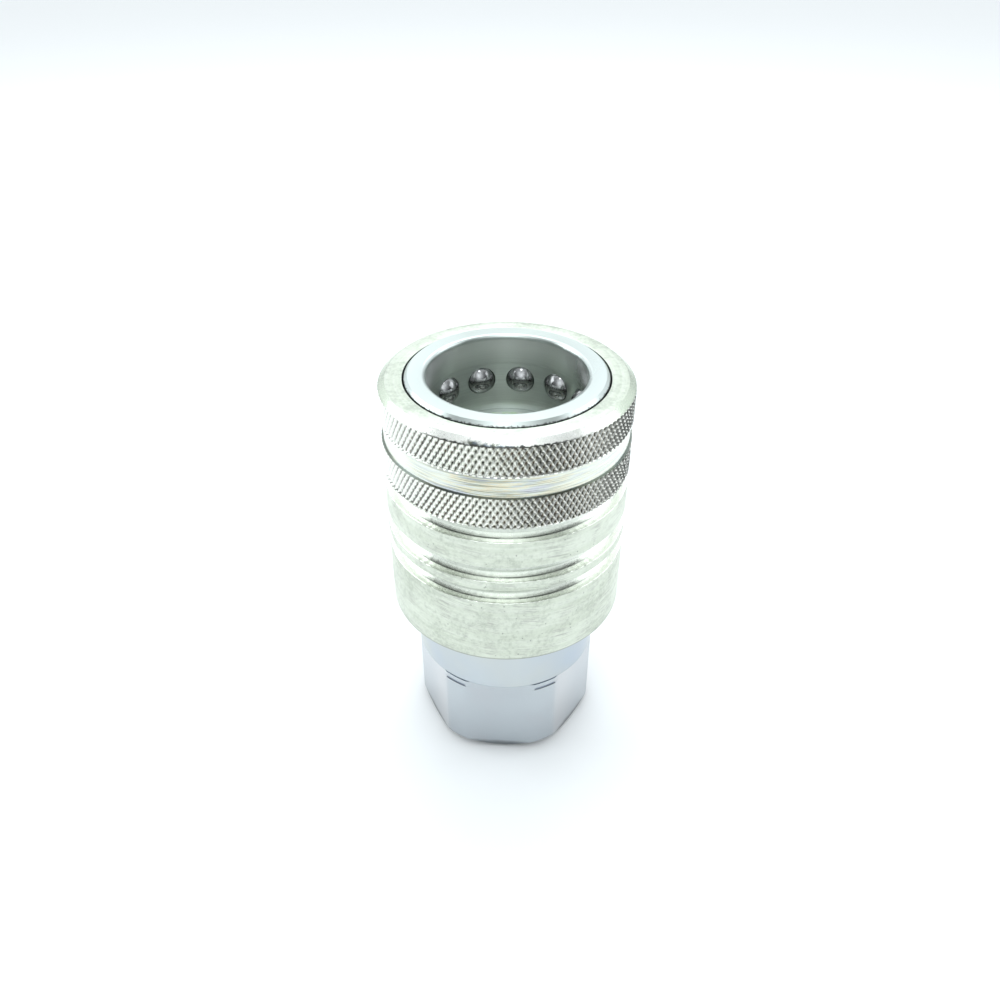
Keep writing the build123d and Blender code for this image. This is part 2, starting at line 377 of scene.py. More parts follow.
# ---- springs --------------------------------------------------------------------------------
SLEEVE_WIRE = 1.5 * MM
SLEEVE_TURNS = 7.25
POPPET_WIRE = 1.1 * MM
POPPET_TURNS = 6.25
STEPS_PER_TURN = 40
WIRE_SIDES = 12
DEAD_TURNS = 1.0  # closed turns at each end
GROUND = 0.45  # part of the wire's thickness left under its centre on a ground end


def make_spring(name, node, wire, turns):
    """A coil spring with closed, ground ends."""
    low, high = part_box(node)
    mean_r = (high.x - low.x) / 2 - wire / 2
    bottom, top = low.z, high.z
    length = top - bottom
    steps = round(turns * STEPS_PER_TURN)
    free = length - 2 * GROUND * wire - 2 * DEAD_TURNS * wire
    open_turns = turns - 2 * DEAD_TURNS
    bm = bmesh.new()
    rings = []
    for step in range(steps + 1):
        turn = turns * step / steps
        angle = math.tau * turn
        opened = min(max(turn - DEAD_TURNS, 0.0), open_turns) / open_turns
        closed = min(turn, DEAD_TURNS) + max(turn - (turns - DEAD_TURNS), 0.0)
        z = bottom + wire * GROUND + closed * wire + free * opened
        ring = []
        for side in range(WIRE_SIDES):
            around = math.tau * side / WIRE_SIDES
            r = mean_r + wire / 2 * math.cos(around)
            height = min(max(z + wire / 2 * math.sin(around), bottom), top)
            ring.append(bm.verts.new((r * math.cos(angle), r * math.sin(angle), height)))
        rings.append(ring)
    for here, there in zip(rings, rings[1:]):
        for side in range(WIRE_SIDES):
            after = (side + 1) % WIRE_SIDES
            bm.faces.new((here[side], here[after], there[after], there[side]))
    bm.faces.new(rings[0])
    bm.faces.new(rings[-1])
    piece = finish_piece(bm, name, "coupler_body", node, 50.0)
    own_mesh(piece)
    return piece


# ---- materials --------------------------------------------------------------------------------
class Nodes:
    """A material's node tree, with short names for what the materials below need.

    place is the point on the object, x, y and z are its parts, r is its distance from the axis, and
    aside its distance from the plane x = 0.
    """

    def __init__(self, name):
        self.material = bpy.data.materials.new(name)
        self.material.use_nodes = True
        self.tree = self.material.node_tree
        self.tree.nodes.clear()
        self.out = self.tree.nodes.new("ShaderNodeOutputMaterial")
        self.shader = self.tree.nodes.new("ShaderNodeBsdfPrincipled")
        self.link(self.shader.outputs[0], self.out.inputs["Surface"])
        self.place = self.tree.nodes.new("ShaderNodeTexCoord").outputs["Object"]
        parts = self.tree.nodes.new("ShaderNodeSeparateXYZ")
        self.link(self.place, parts.inputs[0])
        self.x, self.y, self.z = parts.outputs
        square = self.math(
            "ADD", self.math("MULTIPLY", self.x, self.x), self.math("MULTIPLY", self.y, self.y)
        )
        self.r = self.math("SQRT", square)
        self.aside = self.math("ABSOLUTE", self.x)

    def link(self, a, b):
        self.tree.links.new(a, b)

    def put(self, socket, value):
        """Link an output to a socket, or set a plain value on it."""
        if isinstance(value, bpy.types.NodeSocket):
            self.link(value, socket)
        else:
            socket.default_value = value

    def feed(self, name, value):
        """Link or set one of the shader's inputs."""
        self.put(self.shader.inputs[name], value)

    def fed(self, name):
        """What is linked to one of the shader's inputs."""
        return self.shader.inputs[name].links[0].from_socket

    def math(self, operation, a, b=0.0, c=0.0):
        node = self.tree.nodes.new("ShaderNodeMath")
        node.operation = operation
        for socket, value in zip(node.inputs, (a, b, c)):
            self.put(socket, value)
        return node.outputs[0]

    def vector(self, x, y, z):
        node = self.tree.nodes.new("ShaderNodeCombineXYZ")
        for socket, value in zip(node.inputs, (x, y, z)):
            self.put(socket, value)
        return node.outputs[0]

    def noise(self, vector, scale, detail=3.0, roughness=0.55):
        node = self.tree.nodes.new("ShaderNodeTexNoise")
        self.link(vector, node.inputs["Vector"])
        node.inputs["Scale"].default_value = scale
        node.inputs["Detail"].default_value = detail
        node.inputs["Roughness"].default_value = roughness
        return node.outputs["Fac"]

    def cells(self, vector, scale):
        node = self.tree.nodes.new("ShaderNodeTexVoronoi")
        self.link(vector, node.inputs["Vector"])
        node.inputs["Scale"].default_value = scale
        return node.outputs["Distance"]

    def ramp(self, factor, *stops):
        """A colour ramp from (position, colour) stops."""
        node = self.tree.nodes.new("ShaderNodeValToRGB")
        self.link(factor, node.inputs[0])
        band = node.color_ramp
        while len(band.elements) < len(stops):
            band.elements.new(0.5)
        for element, (position, colour) in zip(band.elements, stops):
            element.position = position
            element.color = (*colour, 1.0)
        return node.outputs[0]

    def span(self, value, low, high, to_low=0.0, to_high=1.0):
        """Map a range of values to another, clamped."""
        node = self.tree.nodes.new("ShaderNodeMapRange")
        for socket, given in zip(node.inputs, (value, low, high, to_low, to_high)):
            self.put(socket, given)
        return node.outputs[0]

    def mix(self, factor, a, b, how="MIX"):
        node = self.tree.nodes.new("ShaderNodeMix")
        node.data_type = "RGBA"
        node.blend_type = how
        node.clamp_result = how != "MIX"
        colours = [socket for socket in node.inputs if socket.type == "RGBA"]
        self.put(node.inputs[0], factor)
        for socket, value in zip(colours, (a, b)):
            self.put(socket, value if isinstance(value, bpy.types.NodeSocket) else (*value, 1.0))
        return next(socket for socket in node.outputs if socket.type == "RGBA")

    def bump(self, *layers):
        """Bump from (height, depth in metres) layers."""
        normal = None
        for height, depth in layers:
            node = self.tree.nodes.new("ShaderNodeBump")
            node.inputs["Strength"].default_value = 1.0
            node.inputs["Distance"].default_value = depth
            self.link(height, node.inputs["Height"])
            if normal is not None:
                self.link(normal, node.inputs["Normal"])
            normal = node.outputs[0]
        self.feed("Normal", normal)

    def brushed(self, amount):
        """Spread highlights along the axis, as fine rings from a lathe do."""
        tangent = self.tree.nodes.new("ShaderNodeTangent")
        tangent.direction_type = "RADIAL"
        tangent.axis = "Z"
        self.feed("Tangent", tangent.outputs[0])
        self.feed("Anisotropic", amount)
        self.feed("Anisotropic Rotation", 0.25)

    def stretched(self, around, height):
        """A place scaled by one number across the axis and by another, or a socket, along it."""
        return self.vector(
            self.math("MULTIPLY", self.x, around), self.math("MULTIPLY", self.y, around), height
        )

    def turning(self, lines, around=40.0):
        """A place that is stretched round the axis, so that noise on it makes turning lines."""
        return self.stretched(around, self.math("MULTIPLY", self.math("ADD", self.z, self.r), lines))


# Light, middle and dark tint of the clouded zinc plate on each kind of surface. The highlight
# tints are a lit copy of the plate, painted highlight on the chamfer, knurl ridges and ledges;
# the rim's tints are a shaded copy, painted shade on the edge that faces down. The groove tints
# are a little darker.
SLEEVE_TINTS = ((0.76, 0.80, 0.71), (0.70, 0.74, 0.65), (0.55, 0.59, 0.51))
HIGHLIGHT_TINTS = ((0.98, 0.98, 0.94), (0.96, 0.96, 0.91), (0.90, 0.91, 0.85))
GROOVE_TINTS = ((0.68, 0.71, 0.65), (0.62, 0.65, 0.59), (0.50, 0.54, 0.48))
RIM_SHADE_TINTS = ((0.30, 0.31, 0.27), (0.22, 0.23, 0.20), (0.13, 0.14, 0.12))
BODY_TINTS = ((0.565, 0.605, 0.635), (0.55, 0.59, 0.62), (0.55, 0.575, 0.605))
SMUDGE = (0.44, 0.45, 0.41)
PIT = (0.12, 0.125, 0.11)


def zinc(
    name,
    tints,
    lines,
    line_depth,
    rough,
    pits=0.3,
    scratches=0.0,
    brushed=0.4,
    grain=6e-6,
    rings=0.3,
):
    """Satin zinc plate: clouded tint, turning lines, dark pits, smudged scratches and a fine grain.

    lines is how close the turning lines are, and rings how dark. line_depth and grain are in metres.
    """
    m = Nodes(name)
    light, mid, dark = tints
    clouds = m.noise(m.place, 170.0, 4.0, 0.6)
    mottle = m.noise(m.place, 1500.0, 4.0, 0.75)
    both = m.math("ADD", m.math("MULTIPLY", clouds, 0.5), m.math("MULTIPLY", mottle, 0.5))
    tint = m.ramp(both, (0.40, dark), (0.5, mid), (0.60, light))
    streak = m.noise(m.turning(lines), 1.0, 3.0, 0.6)
    tint = m.mix(m.span(streak, 0.38, 0.62, 0.0, rings), tint, mid, "MULTIPLY")
    slant = m.math("ADD", m.z, m.math("MULTIPLY", m.x, 0.12))
    lay = m.stretched(260.0, m.math("MULTIPLY", slant, 7000.0))
    scratch = m.span(m.noise(lay, 1.0, 3.0, 0.65), 0.50, 0.62)
    patch = m.span(m.noise(m.place, 330.0, 3.0, 0.6), 0.46, 0.62, 0.0, scratches)
    smudge = m.math("MULTIPLY", scratch, patch)
    tint = m.mix(smudge, tint, SMUDGE)
    specks = m.span(m.cells(m.place, 1100.0), 0.06, 0.16, 1.0, 0.0)
    chosen = m.span(m.noise(m.place, 420.0, 2.0, 0.6), 0.52, 0.60, 0.0, pits)
    pit = m.math("MULTIPLY", specks, chosen)
    m.feed("Base Color", m.mix(pit, tint, PIT))
    m.feed("Metallic", 1.0)
    uneven = m.math("ADD", mottle, m.math("MULTIPLY", smudge, 0.5))
    m.feed("Roughness", m.span(uneven, 0.3, 0.75, *rough))
    m.brushed(brushed)
    fine = m.noise(m.place, 3000.0, 3.0, 0.6)
    m.bump((streak, line_depth), (fine, grain), (m.math("SUBTRACT", 1.0, pit), 2e-5))
    return m


def sleeve_groove():
    """The groove walls: finely turned, painted light above each ledge and towards the sides, with a
    dark line of painted shade along each ledge's corner.
    """
    m = zinc(
        "zinc_groove", GROOVE_TINTS, 3200.0, 1.5e-5, (0.24, 0.34), 0.05, brushed=0.4, rings=0.85
    )
    # line is painted shade along each ledge's corner, strongest in the middle; foot marks painted
    # light, paler within a millimetre above each ledge.
    line, foot = 0.0, 0.0
    for ledge in LEDGES:
        rise = m.math("ABSOLUTE", m.math("SUBTRACT", m.z, ledge))
        line = m.math("MAXIMUM", line, m.span(rise, 0.08 * MM, 0.24 * MM, 0.9, 0.0))
        foot = m.math("MAXIMUM", foot, m.span(rise, 0.95 * MM, 1.25 * MM, 1.0, 0.0))
    tint = m.mix(foot, m.fed("Base Color"), (0.76, 0.80, 0.72))
    # Painted light: paler towards the sides.
    tint = m.mix(m.span(m.aside, 7.0 * MM, 15.0 * MM, 0.0, 0.8), tint, (0.95, 0.98, 0.92))
    patchy = m.span(m.noise(m.place, 240.0, 3.0, 0.6), 0.36, 0.5, 0.5, 1.0)
    patchy = m.math("MULTIPLY", patchy, m.span(m.aside, 7.0 * MM, 14.0 * MM, 1.0, 0.3))
    at_wall = m.span(m.r, 18.1 * MM, 18.3 * MM, 1.0, 0.0)
    line = m.math("MULTIPLY", m.math("MULTIPLY", line, patchy), at_wall)
    m.feed("Base Color", m.mix(line, tint, (0.07, 0.08, 0.065)))
    return m.material


def sleeve_band():
    """The plain bands: satin and smudged, with a dark line of painted shade along the sleeve's lower
    edge.
    """
    m = zinc("zinc_band", SLEEVE_TINTS, 1600.0, 4e-6, (0.34, 0.5), 0.8, 0.75, 0.3, 1e-5)
    # Painted shade along the lower edge, which faces down.
    line = m.span(m.z, LOW_EDGE, LOW_EDGE + 0.2 * MM, 0.7, 0.0)
    m.feed("Base Color", m.mix(line, m.fed("Base Color"), (0.20, 0.21, 0.18)))
    return m.material


def sleeve_chamfer():
    """The front chamfer: bright, a painted highlight, greenish aside, its plating worn grey and blue
    at the lower edge; wear and dark specks gather in the middle, partly real wear and partly painted
    shade.
    """
    m = zinc("zinc_chamfer", HIGHLIGHT_TINTS, 2600.0, 5e-6, (0.2, 0.34), 0.5)
    rough = m.noise(m.place, 1500.0, 4.0, 0.7)
    wide = m.noise(m.place, 160.0, 2.0, 0.5)
    low = m.span(m.z, front - 0.9 * MM, front - 0.1 * MM, 0.50, -0.10)
    # Wear is pushed towards the middle: painted shade.
    middle_shade = m.math("ABSOLUTE", m.math("ADD", m.x, 1.5 * MM))
    middle_shade = m.span(middle_shade, 2.0 * MM, 9.0 * MM, 0.14, -0.4)
    spread = m.math("MULTIPLY_ADD", wide, 0.3, middle_shade)
    worn = m.span(m.math("ADD", m.math("ADD", rough, low), spread), 0.84, 1.1)
    # Bare metal colours, used for real wear and for the painted shade in the middle.
    bare_metal_and_shade = m.noise(m.place, 700.0, 2.0, 0.5)
    bare_metal_and_shade = m.ramp(bare_metal_and_shade, (0.4, (0.13, 0.14, 0.11)), (0.6, (0.14, 0.17, 0.21)))
    greenish = m.span(m.aside, 11.0 * MM, 17.0 * MM)
    clean = m.mix(greenish, m.fed("Base Color"), (0.70, 0.77, 0.64))
    # Dark specks at the lower edge: real wear, and painted shade where they gather in the middle.
    edge = m.span(m.z, front - 0.88 * MM, front - 0.46 * MM, 0.62, 0.0)
    dark = m.span(m.math("ADD", rough, edge), 0.82, 0.96)
    dark = m.math("MULTIPLY", dark, m.span(m.aside, 7.0 * MM, 15.0 * MM, 1.0, 0.15))
    m.feed("Base Color", m.mix(dark, m.mix(worn, clean, bare_metal_and_shade), (0.06, 0.06, 0.055)))
    return m.material


def knurled_zinc():
    """Zinc plate on the knurling: ridges in the highlight tints, a painted highlight; flanks painted
    darker towards the right as painted shade; oily grime in the pits that also stands for their
    shade, kept lighter on the left side as painted light.
    """
    m = zinc("zinc_knurl", HIGHLIGHT_TINTS, 900.0, 2e-6, (0.16, 0.28), 0.1, brushed=0.0, rings=0.0)
    # Pit colour: oily grime, and painted shade in the pits.
    dirt_and_shade = m.noise(m.place, 260.0, 3.0, 0.6)
    dirt_and_shade = m.ramp(dirt_and_shade, (0.4, (0.10, 0.105, 0.09)), (0.6, (0.17, 0.12, 0.085)))
    film = m.noise(m.place, 1300.0, 3.0, 0.6)
    depth = m.math("SUBTRACT", m.r, m.math("MULTIPLY", film, 0.08 * MM))
    clear = m.span(depth, KNURL_VALLEY_R, KNURL_VALLEY_R + 0.13 * MM)
    # Painted light: the pits kept clear on the left side.
    clear = m.math("MAXIMUM", clear, m.span(m.x, -16.0 * MM, -8.0 * MM, 0.4, 0.0))
    # Painted shade: the flanks darker towards the right.
    shade_toward_right = m.span(m.x, -10.0 * MM, 12.0 * MM)
    flank_shade = m.mix(shade_toward_right, (0.72, 0.74, 0.68), (0.32, 0.31, 0.25))
    # Ridges keep the painted highlight; lower down the painted flank shade.
    plate = m.mix(m.span(m.r, 18.70 * MM, 18.94 * MM), flank_shade, m.fed("Base Color"))
    m.feed("Base Color", m.mix(clear, dirt_and_shade, plate))
    return m.material


def passivated_recess():
    """The turned stretch between the knurls, with the faint rainbow of its passivation, a painted
    reflection that lightens it towards the sides, and a dark line of painted shade at its foot.
    """
    m = Nodes("zinc_recess")
    rainbow = m.noise(m.stretched(150.0, m.math("MULTIPLY", m.z, 1500.0)), 1.0, 3.0, 0.55)
    tint = m.ramp(
        rainbow,
        (0.36, (0.58, 0.61, 0.66)),
        (0.44, (0.66, 0.71, 0.64)),
        (0.49, (0.74, 0.68, 0.51)),
        (0.56, (0.70, 0.74, 0.64)),
        (0.66, (0.62, 0.64, 0.68)),
    )
    streak = m.noise(m.stretched(150.0, m.math("MULTIPLY", m.z, 6500.0)), 1.0, 2.0, 0.5)
    tint = m.mix(m.span(streak, 0.47, 0.60, 0.0, 0.85), tint, (0.44, 0.44, 0.40), "MULTIPLY")
    # Painted reflection: lighter towards the sides.
    tint = m.mix(m.span(m.aside, 5.0 * MM, 14.0 * MM, 0.0, 0.6), tint, (0.93, 0.98, 0.90))
    # Painted shade in the corner at the recess's foot.
    off_foot = m.math("ABSOLUTE", m.math("SUBTRACT", m.z, RECESS_FOOT))
    corner = m.span(off_foot, 0.05 * MM, 0.24 * MM, 0.8, 0.0)
    m.feed("Base Color", m.mix(corner, tint, (0.08, 0.10, 0.085)))
    m.feed("Metallic", 1.0)
    m.feed("Roughness", m.span(streak, 0.3, 0.7, 0.18, 0.3))
    m.brushed(0.5)
    m.bump((streak, 2.5e-5))
    return m.material


def hexagon_zinc():
    """The hexagon: smooth plate, painted darker towards the foot as painted shade, painted shade
    under the step above its corners, and a painted reflection on the slanted flats.
    """
    m = zinc(
        "zinc_hex", BODY_TINTS, 500.0, 0.0, (0.24, 0.28), 0.0, brushed=0.0, grain=5e-7, rings=0.0
    )
    corner = m.math("COSINE", m.math("MULTIPLY", m.math("ARCTAN2", m.y, m.x), 6.0))
    # Painted reflection: lighter beige on the slanted flats beside the front one.
    inner = m.span(m.aside, 8.6 * MM, 9.8 * MM, 0.0, 0.5)
    beige = m.math("MULTIPLY", inner, m.span(m.aside, 10.5 * MM, 13.0 * MM, 1.0, 0.4))
    tint = m.mix(beige, m.fed("Base Color"), (0.72, 0.70, 0.70))
    # Painted shade under the step above the corners.
    above = m.span(m.z, STEP_Z - 0.05 * MM, STEP_Z)
    below = m.span(m.z, STEP_Z + 0.26 * MM, STEP_Z + 0.34 * MM, 1.0, 0.0)
    step_shade = m.math("MULTIPLY", above, below)
    step_shade = m.math("MULTIPLY", step_shade, m.span(corner, 0.68, 0.80, 0.0, 0.85))
    tint = m.mix(step_shade, tint, (0.16, 0.19, 0.25))
    # Painted shade: darker towards the foot.
    low = m.span(m.z, 1.6 * MM, 11.0 * MM, 0.3, 0.0)
    tint = m.mix(low, tint, (0.50, 0.52, 0.54), "MULTIPLY")
    # Painted shade: a dark band at the foot.
    uneven = m.math("MULTIPLY", m.noise(m.place, 900.0), 0.5 * MM)
    foot = m.span(m.math("ADD", m.z, uneven), 1.3 * MM, 2.1 * MM, 0.75, 0.0)
    m.feed("Base Color", m.mix(foot, tint, (0.13, 0.135, 0.14)))
    return m.material


BORE_STEP_LOW = 53.4 * MM  # the step in the bore in front of the valve
BORE_STEP_HIGH = 53.8 * MM
BORE_EDGE_R = 12.45 * MM  # the barrel's surfaces inside this radius belong to the bore
BARREL_EDGE_R = 15.08 * MM


def barrel_steel():
    """The barrel: smooth bluish zinc outside with painted light in the middle, a darker oily bore
    with painted light near its top, a mouth face painted with a reflection, and a worn edge at the
    mouth.
    """
    m = Nodes("barrel_zinc")
    mouth = cad_high.z
    clouds = m.noise(m.place, 70.0, 3.0, 0.5)
    outside = m.ramp(
        clouds, (0.38, (0.49, 0.55, 0.62)), (0.5, (0.53, 0.57, 0.60)), (0.62, (0.56, 0.59, 0.57))
    )
    # Painted light: lighter in the middle.
    middle = m.span(m.aside, 3.0 * MM, 13.0 * MM, 0.55, 0.0)
    outside = m.mix(middle, outside, (0.68, 0.72, 0.72))
    joint = m.span(m.z, shoulder + 0.2 * MM, shoulder + 0.4 * MM, 0.6, 0.0)
    outside = m.mix(joint, outside, (0.24, 0.29, 0.36))
    streak = m.noise(m.turning(3200.0, 30.0), 1.0, 3.0, 0.6)
    bore = m.ramp(streak, (0.3, (0.66, 0.70, 0.67)), (0.7, (0.73, 0.78, 0.74)))
    # Painted light: the top of the bore lighter.
    bore_top_light = m.span(m.z, mouth - 5.0 * MM, mouth - 2.0 * MM, 0.0, 0.9)
    bore = m.mix(bore_top_light, bore, (0.98, 1.0, 0.98))
    tint = m.mix(m.span(m.r, BORE_EDGE_R + 0.17 * MM, BORE_EDGE_R), outside, bore)
    # The mouth's face: darker in the middle and lighter at the sides, a painted reflection.
    face = m.mix(m.span(m.aside, 7.0 * MM, 14.0 * MM), (0.60, 0.65, 0.62), (0.74, 0.80, 0.78))
    tint = m.mix(m.span(m.z, mouth - 0.9 * MM, mouth - 0.5 * MM), tint, face)

    under_top = m.span(m.z, BORE_STEP_HIGH - 0.1 * MM, BORE_STEP_HIGH, 1.0, 0.0)
    over_foot = m.span(m.z, BORE_STEP_LOW, BORE_STEP_LOW + 0.1 * MM)
    at_step = m.math("MULTIPLY", under_top, over_foot)
    lit = m.math("MULTIPLY", at_step, m.span(m.r, 10.9 * MM, 11.1 * MM, 1.0, 0.0))
    shade = m.math("SUBTRACT", at_step, lit)
    tint = m.mix(m.math("MULTIPLY", shade, 0.5), tint, (0.30, 0.32, 0.30))
    hint = m.ramp(
        m.noise(m.place, 420.0),
        (0.42, (0.58, 0.74, 0.50)),
        (0.5, (0.70, 0.74, 0.68)),
        (0.6, (0.76, 0.74, 0.54)),
    )
    tint = m.mix(lit, tint, hint)

    near_edge = m.span(m.r, BARREL_EDGE_R - 0.3 * MM, BARREL_EDGE_R, 0.0, 0.42)
    chips = m.math("ADD", m.noise(m.place, 2600.0, 3.0, 0.7), near_edge)
    at_mouth = m.span(m.z, mouth - 0.9 * MM, mouth - 0.7 * MM)
    worn = m.math("MULTIPLY", m.span(chips, 0.78, 0.92), at_mouth)
    m.feed("Base Color", m.mix(worn, tint, (0.14, 0.15, 0.14)))
    m.feed("Metallic", m.math("MULTIPLY_ADD", lit, -0.9, 1.0))
    m.feed("Roughness", m.span(clouds, 0.3, 0.7, 0.26, 0.36))
    m.brushed(0.6)
    m.bump((streak, 3e-6), (m.noise(m.place, 2600.0, 3.0, 0.6), 3e-6))
    return m.material


def polished_ball():
    """Hardened bearing steel with a film of oil and faint scuffs."""
    m = Nodes("ball_steel")
    scuff = m.noise(m.place, 1500.0, 4.0, 0.7)
    tint = m.ramp(scuff, (0.35, (0.24, 0.24, 0.24)), (0.65, (0.38, 0.38, 0.38)))
    m.feed("Base Color", tint)
    m.feed("Metallic", 1.0)
    m.feed("Roughness", m.span(scuff, 0.3, 0.7, 0.10, 0.18))
    m.bump((scuff, 1.5e-6))
    return m.material


def turned_steel(name, light, dark, rough):
    """Plain turned steel: fine rings round the axis and a light oil film."""
    m = Nodes(name)
    streak = m.noise(m.turning(4000.0, 20.0), 1.0, 3.0, 0.6)
    film = m.noise(m.place, 260.0, 4.0, 0.6)
    tint = m.ramp(streak, (0.3, dark), (0.7, light))
    tint = m.mix(m.span(film, 0.4, 0.7, 0.0, 0.4), tint, dark, "MULTIPLY")
    m.feed("Base Color", tint)
    m.feed("Metallic", 1.0)
    m.feed("Roughness", m.span(film, 0.3, 0.7, *rough))
    m.bump((streak, 1e-5))
    return m.material


def wire_steel(name, light, dark):
    """Drawn wire: grey with darker patches of oil."""
    m = Nodes(name)
    patches = m.noise(m.place, 700.0, 4.0, 0.65)
    tint = m.ramp(patches, (0.35, dark), (0.65, light))
    m.feed("Base Color", tint)
    m.feed("Metallic", 1.0)
    m.feed("Roughness", m.span(patches, 0.3, 0.7, 0.3, 0.5))
    m.bump((m.noise(m.place, 5000.0, 2.0, 0.5), 6e-6))
    return m.material


def moulded(name, light, dark, rough, grain):
    """Rubber or PTFE: a slightly uneven colour and a fine grain."""
    m = Nodes(name)
    cloud = m.noise(m.place, 500.0, 4.0, 0.6)
    m.feed("Base Color", m.ramp(cloud, (0.35, dark), (0.65, light)))
    m.feed("Roughness", m.span(cloud, 0.3, 0.7, *rough))
    m.bump((m.noise(m.place, 6000.0, 2.0, 0.5), grain))
    return m.material


def paint(obj, *materials):
    """Give an object these materials, in the order of its zones."""
    zone_of_face = [face.material_index for face in obj.data.polygons]
    obj.data.materials.clear()
    for material in materials:
        obj.data.materials.append(material)
    if len(materials) > 1:
        obj.data.polygons.foreach_set("material_index", zone_of_face)


sleeve, sleeve_zones = make_sleeve()
adaptor, adaptor_zones = make_adaptor()
sleeve_spring = make_spring(
    "sleeve_spring_coiled",
    "sleeve_spring",
    SLEEVE_WIRE,
    SLEEVE_TURNS,
)
poppet_spring = make_spring(
    "poppet_spring_coiled",
    "poppet_spring",
    POPPET_WIRE,
    POPPET_TURNS,
)

by_zone = {
    "face": zinc("zinc_face", SLEEVE_TINTS, 2600.0, 8e-6, (0.32, 0.44), 0.3).material,
    "chamfer": sleeve_chamfer(),
    "knurl": knurled_zinc(),
    "recess": passivated_recess(),
    "groove": sleeve_groove(),
    # The ledges in the highlight tints: a painted highlight.
    "ledge": zinc(
        "zinc_ledge", HIGHLIGHT_TINTS, 5200.0, 2e-6, (0.12, 0.2), 0.1, brushed=0.0, rings=0.0
    ).material,
    "band": sleeve_band(),
    # The rim: the plate in very dark tints, painted shade on the edge that faces down.
    "rim": zinc("zinc_rim", RIM_SHADE_TINTS, 2600.0, 4e-6, (0.34, 0.5), 0.5).material,
    "inside": turned_steel("zinc_inside", (0.62, 0.64, 0.60), (0.40, 0.42, 0.40), (0.3, 0.45)),
    "hexagon": hexagon_zinc(),
    "thread": turned_steel("thread_steel", (0.60, 0.62, 0.62), (0.34, 0.36, 0.36), (0.25, 0.4)),
}
paint(sleeve, *[by_zone[zone] for zone in sleeve_zones])
paint(adaptor, *[by_zone[zone] for zone in adaptor_zones])

spring_steel = wire_steel("spring_steel", (0.46, 0.47, 0.48), (0.26, 0.27, 0.28))
ring_steel = wire_steel("ring_steel", (0.16, 0.16, 0.17), (0.07, 0.07, 0.08))
guide_steel = turned_steel("guide_steel", (0.62, 0.63, 0.64), (0.42, 0.43, 0.45), (0.28, 0.42))
valve_steel = turned_steel("valve_steel", (0.70, 0.72, 0.66), (0.48, 0.50, 0.46), (0.2, 0.32))
nitrile = moulded("nitrile", (0.035, 0.035, 0.037), (0.015, 0.015, 0.016), (0.35, 0.55), 6e-6)
ptfe = moulded("ptfe", (0.86, 0.86, 0.83), (0.76, 0.76, 0.72), (0.3, 0.42), 3e-6)
paint(sleeve_spring, spring_steel)
paint(poppet_spring, spring_steel)

ball_steel = polished_ball()
node_materials = {
    "socket_body": barrel_steel(),
    "poppet": valve_steel,
    "poppet_seal": nitrile,
    "poppet_guide": guide_steel,
    "socket_o_ring": nitrile,
    "backup_ring": ptfe,
    "adaptor_o_ring": nitrile,
    "spring_washer": guide_steel,
    "sleeve_guide_ring": guide_steel,
    "body_snap_ring": ring_steel,
    "sleeve_circlip": ring_steel,
}
for node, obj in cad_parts.items():
    if node.startswith("locking_ball"):
        paint(obj, ball_steel)
    elif node in node_materials:
        paint(obj, node_materials[node])


# ---- floor, light and camera --------------------------------------------------------------------
DAYLIGHT = (0.94, 1.0, 1.03)
ROOM_LIGHT = 0.02

# Azimuth from the camera's side towards the right, elevation, tightness and strength.
SOFT_PATCHES = [
    (0, 54, 6.0, 1.35),
    (0, 36, 14.0, 1.1),
    (135, 12, 8.0, 0.7),
    (225, 12, 8.0, 0.8),
    (135, 50, 6.0, 0.6),
    (180, 55, 6.0, 0.8),
    (225, 50, 6.0, 0.7),
]

# Name, place, size in metres and power in watts.
AREA_LIGHTS = [
    ("left", (-0.45, 0.05, 0.3), 0.35, 0.9),
    ("right", (0.45, 0.05, 0.3), 0.35, 0.6),
    ("behind", (0.0, 0.45, 0.44), 0.35, 0.14),
    ("overhead", (0.0, 0.3, 0.6), 0.4, 0.8),
    ("above", (0.0, -0.1, 0.6), 0.1, 0.2),
]
LIGHTS_AIM = Vector((0, 0, 0.03))

FLOOR_HALF = 8.0
FLOOR_Z = -0.02 * MM  # a hair below the foot
FLOOR_TINT = (0.93, 0.93, 0.93, 1)


def make_floor():
    """A plain pale floor that reaches well past the view."""
    mesh = bpy.data.meshes.new("floor")
    corners = [
        (x * FLOOR_HALF, y * FLOOR_HALF, FLOOR_Z) for x, y in ((-1, -1), (1, -1), (1, 1), (-1, 1))
    ]
    mesh.from_pydata(corners, [], [(0, 1, 2, 3)])
    floor = bpy.data.objects.new("floor", mesh)
    bpy.context.scene.collection.objects.link(floor)
    m = Nodes("floor")
    m.feed("Base Color", FLOOR_TINT)
    m.feed("Roughness", 0.9)
    m.feed("Specular IOR Level", 0.1)
    paint(floor, m.material)


def area_light(name, place, size, power):
    """A square soft light that looks at the coupler."""
    light = bpy.data.lights.new(name, "AREA")
    light.size = size
    light.energy = power
    light.color = DAYLIGHT
    obj = bpy.data.objects.new(name, light)
    obj.location = place
    obj.rotation_euler = (LIGHTS_AIM - Vector(place)).to_track_quat("-Z", "Y").to_euler()
    obj.visible_camera = False
    bpy.context.scene.collection.objects.link(obj)


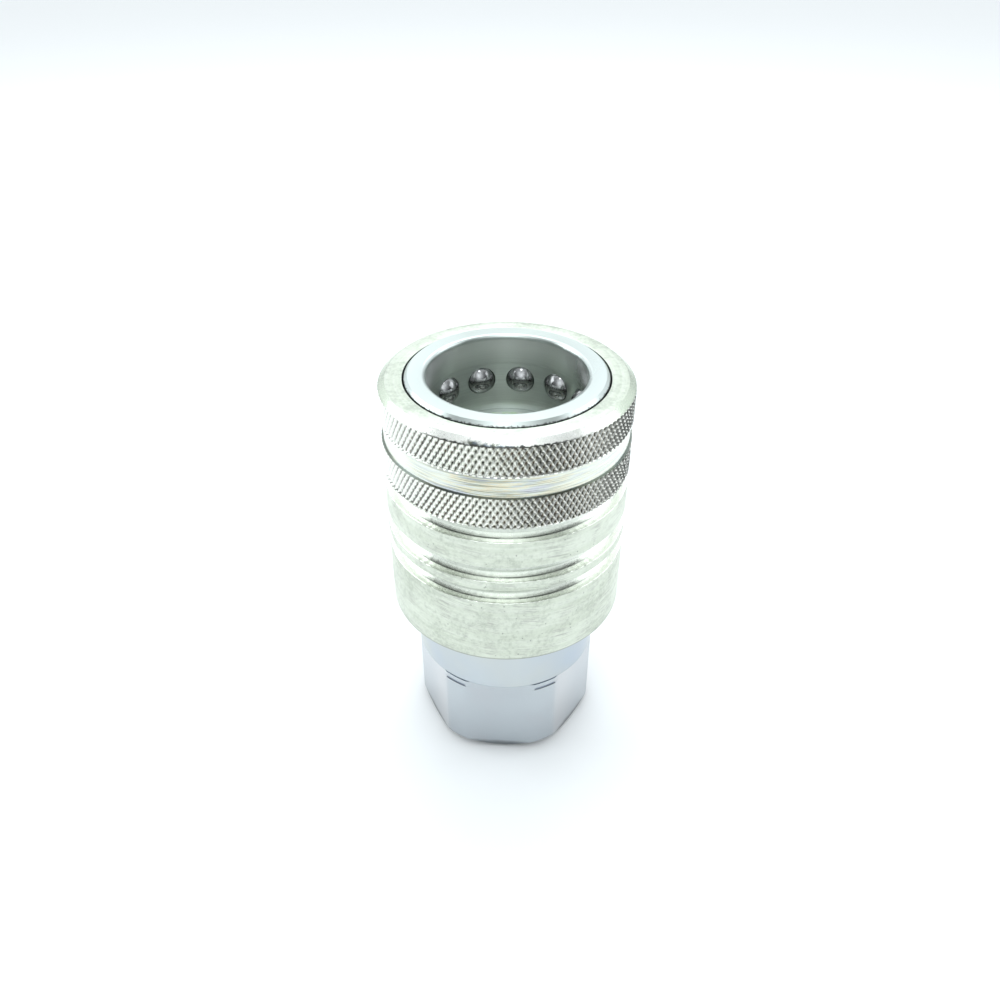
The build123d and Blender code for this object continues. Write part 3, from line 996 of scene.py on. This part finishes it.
def make_world():
    """Soft bright patches in a dim room, which the camera itself sees as plain white."""
    world = bpy.data.worlds.new("studio")
    bpy.context.scene.world = world
    world.use_nodes = True
    tree = world.node_tree
    tree.nodes.clear()

    def add(kind, *values):
        node = tree.nodes.new(kind)
        for socket, value in zip(node.inputs, values):
            if isinstance(value, bpy.types.NodeSocket):
                tree.links.new(value, socket)
            elif value is not None:
                socket.default_value = value
        return node

    def compute(operation, *values):
        node = add("ShaderNodeMath", *values)
        node.operation = operation
        return node.outputs[0]

    direction = add("ShaderNodeTexCoord").outputs["Generated"]
    total = ROOM_LIGHT
    for azimuth, elevation, tightness, strength in SOFT_PATCHES:
        turn, rise = math.radians(azimuth), math.radians(elevation)
        out = math.cos(rise)
        toward = (math.sin(turn) * out, -math.cos(turn) * out, math.sin(rise))
        dot = add("ShaderNodeVectorMath", direction, toward)
        dot.operation = "DOT_PRODUCT"
        fall = compute("MULTIPLY_ADD", dot.outputs["Value"], tightness, -tightness)
        total = compute("MULTIPLY_ADD", compute("EXPONENT", fall), strength, total)
    lit = add("ShaderNodeBackground", (*DAYLIGHT, 1), total)
    seen = add("ShaderNodeBackground", (1, 1, 1, 1), 1.0)
    path = add("ShaderNodeLightPath")
    mix = add("ShaderNodeMixShader", path.outputs["Is Camera Ray"], lit.outputs[0], seen.outputs[0])
    add("ShaderNodeOutputWorld", mix.outputs[0])


CAMERA_TURN = math.radians(4.2)
CAMERA_TILT = math.radians(35.894)
CAMERA_OUT = 117.735 * MM
CAMERA_SIDE = -1.015 * MM
CAMERA_ABOVE_SLEEVE = 62.401 * MM
CAMERA_LENS = 32.468


def make_camera():
    """The camera: in front of the axis, above the sleeve, tilted down."""
    data = bpy.data.cameras.new("camera")
    data.lens = CAMERA_LENS
    data.sensor_width = 36.0
    data.clip_start = 0.005
    data.clip_end = 30.0
    camera = bpy.data.objects.new("camera", data)
    out = Vector((math.sin(CAMERA_TURN), -math.cos(CAMERA_TURN), 0))
    side = Vector((math.cos(CAMERA_TURN), math.sin(CAMERA_TURN), 0))
    camera.location = out * CAMERA_OUT + side * CAMERA_SIDE
    camera.location.z = front + CAMERA_ABOVE_SLEEVE
    camera.rotation_euler = (math.pi / 2 - CAMERA_TILT, 0, CAMERA_TURN)
    bpy.context.scene.collection.objects.link(camera)
    bpy.context.scene.camera = camera


make_floor()
make_world()
for settings in AREA_LIGHTS:
    area_light(*settings)
make_camera()
bpy.context.scene.view_settings.view_transform = "Standard"
